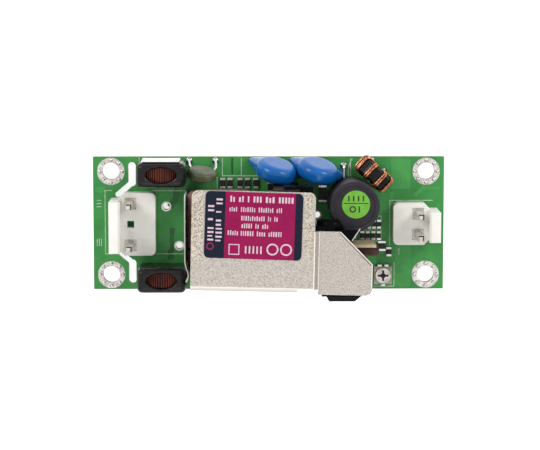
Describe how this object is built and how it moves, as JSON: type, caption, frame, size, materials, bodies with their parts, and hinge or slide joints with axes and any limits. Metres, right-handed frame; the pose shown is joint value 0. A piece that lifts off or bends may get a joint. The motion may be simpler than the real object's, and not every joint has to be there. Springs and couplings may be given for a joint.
{
  "type": "open frame power supply",
  "caption": "Open frame switching power supply: board with input and output headers, chokes, capacitors and a folded heatsink cover.",
  "frame": {"origin": "middle of the four mounting holes, on the underside of the board", "axes": "+X from the mains header to the output header, +Y to the side of the disc capacitors, +Z from the board to the components"},
  "size_m": [0.0668, 0.0269, 0.0193],
  "materials": {
    "board": "satin solder resist over glass laminate",
    "tinned_land": "tinned copper",
    "header_nylon": "natural nylon",
    "tinned_lead": "tinned wire",
    "ferrite": "black ferrite",
    "copper_wire": "enamelled copper",
    "black_sleeve": "gloss",
    "disc_epoxy": "blue epoxy",
    "thermistor_coat": "grey green coating",
    "drum_sleeve": "shrunk sleeve",
    "sticker_paper": "green paper",
    "tin_plate": "rolled tinned sheet",
    "label_film": "printed label",
    "insulation_black": "gloss",
    "barrier_board": "fibre sheet",
    "can_aluminium": "drawn",
    "can_sleeve": "brown shrink sleeve",
    "bung_rubber": "moulded",
    "bobbin_plastic": "moulded",
    "coil_tape": "yellow tape",
    "package_black": "moulded epoxy",
    "chip_body": "dark ceramic",
    "trimmer_ceramic": "pale ceramic",
    "trimmer_metal": "plated",
    "solder": "solder"
  },
  "bodies": {
    "supply": {"circuit_board": "board", "mounting_lands": "tinned_land", "spare_lands": "tinned_land", "ac_header_housing": "header_nylon", "dc_header_housing": "header_nylon", "ac_header_pins": "tinned_lead", "dc_header_pins": "tinned_lead", "line_choke_core": "ferrite", "neutral_choke_core": "ferrite", "line_choke_winding": "copper_wire", "neutral_choke_winding": "copper_wire", "line_choke_sleeve": "black_sleeve", "neutral_choke_sleeve": "black_sleeve", "inrush_thermistor": "thermistor_coat", "inrush_thermistor_leads": "tinned_lead", "y_capacitor_left": "disc_epoxy", "y_capacitor_left_leads": "tinned_lead", "y_capacitor_right": "disc_epoxy", "y_capacitor_right_leads": "tinned_lead", "output_choke_core": "ferrite", "output_choke_winding_west": "copper_wire", "output_choke_winding_east": "copper_wire", "drum_inductor_core": "ferrite", "drum_inductor_winding": "copper_wire", "drum_inductor_sleeve": "drum_sleeve", "drum_inductor_leads": "tinned_lead", "inspection_sticker": "sticker_paper", "heatsink_cover": "tin_plate", "rating_label": "label_film", "insulation_film": "insulation_black", "barrier_sheet": "barrier_board", "bulk_capacitor_can": "can_aluminium", "bulk_capacitor_sleeve": "can_sleeve", "bulk_capacitor_bung": "bung_rubber", "bulk_capacitor_leads": "tinned_lead", "output_capacitor_can": "can_aluminium", "output_capacitor_sleeve": "can_sleeve", "output_capacitor_bung": "bung_rubber", "output_capacitor_leads": "tinned_lead", "transformer_core_lower": "ferrite", "transformer_core_upper": "ferrite", "transformer_bobbin": "bobbin_plastic", "transformer_winding": "coil_tape", "transformer_pins": "tinned_lead", "power_transistor": "package_black", "power_transistor_tab": "tinned_lead", "output_rectifier": "package_black", "output_rectifier_tab": "tinned_lead", "chip_bodies": "chip_body", "chip_terminals": "tinned_lead", "trimmer_base": "trimmer_ceramic", "trimmer_terminals": "tinned_lead", "bridge_rectifier": "package_black", "controller_ic": "package_black", "optocoupler": "package_black", "input_fuse": "trimmer_ceramic", "surface_leads": "tinned_lead", "solder_joints": "solder"},
    "trimmer_rotor": {"trimmer_rotor": "trimmer_metal"}
  },
  "joints": [
    {"name": "trimmer_turn", "type": "hinge", "parent": "supply", "child": "trimmer_rotor", "pos_m": [0.02182, -0.00998, 0.0026], "axis": [0, 0, 1], "range_deg": [-120, 120]}
  ]
}
